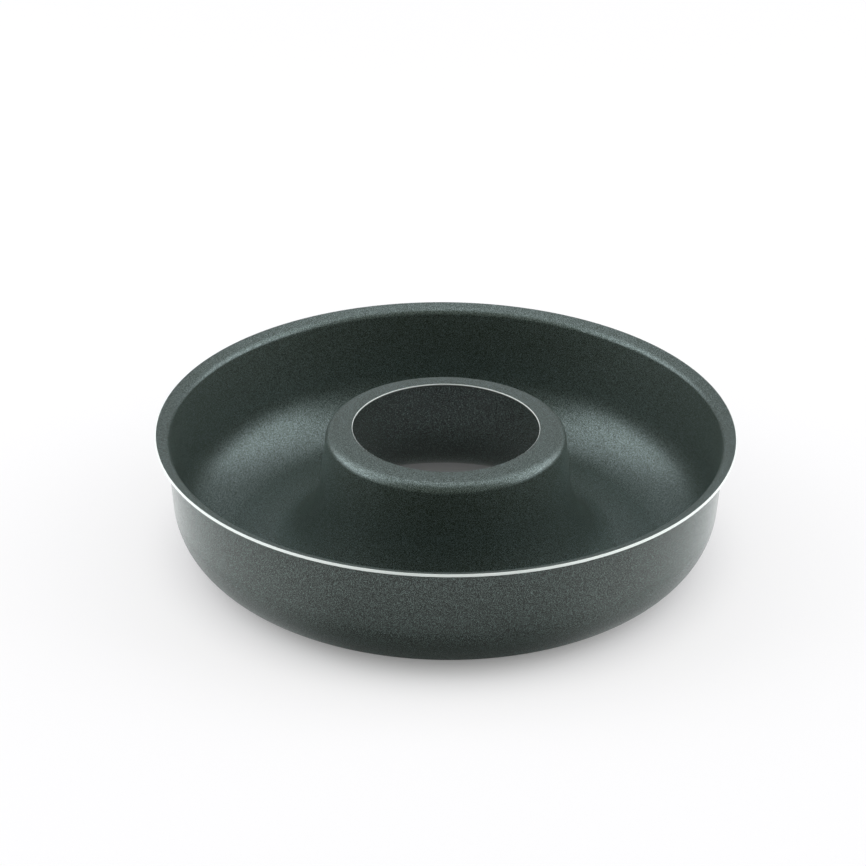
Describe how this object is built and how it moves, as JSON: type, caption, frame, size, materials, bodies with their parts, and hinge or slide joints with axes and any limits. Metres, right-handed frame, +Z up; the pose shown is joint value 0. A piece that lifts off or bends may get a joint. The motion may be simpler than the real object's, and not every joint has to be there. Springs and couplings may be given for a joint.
{
  "type": "savarin mould",
  "caption": "Round savarin ring mould: a smooth round-cornered trough about an open tapered chimney, with a narrow flared rim and a speckled dark non-stick coat inside and out.",
  "frame": {"origin": "middle of the flat ring that the mould stands on, on the table", "axes": "+Z up along the axis of the ring and the chimney, X and Y across the ring"},
  "size_m": [0.26, 0.26, 0.0591],
  "materials": {
    "bare_aluminium": "bare bright trimmed edge with fine lines along the cut",
    "inside_nonstick": "satin dark green-grey fluoropolymer film with fine pale flecks",
    "outside_nonstick": "satin dark green-grey film with fine pale flecks, a little duller than the inside"
  },
  "bodies": {
    "root": {"pressed_shell": "bare_aluminium", "inside_coat": "inside_nonstick", "outside_coat": "outside_nonstick"}
  },
  "joints": []
}
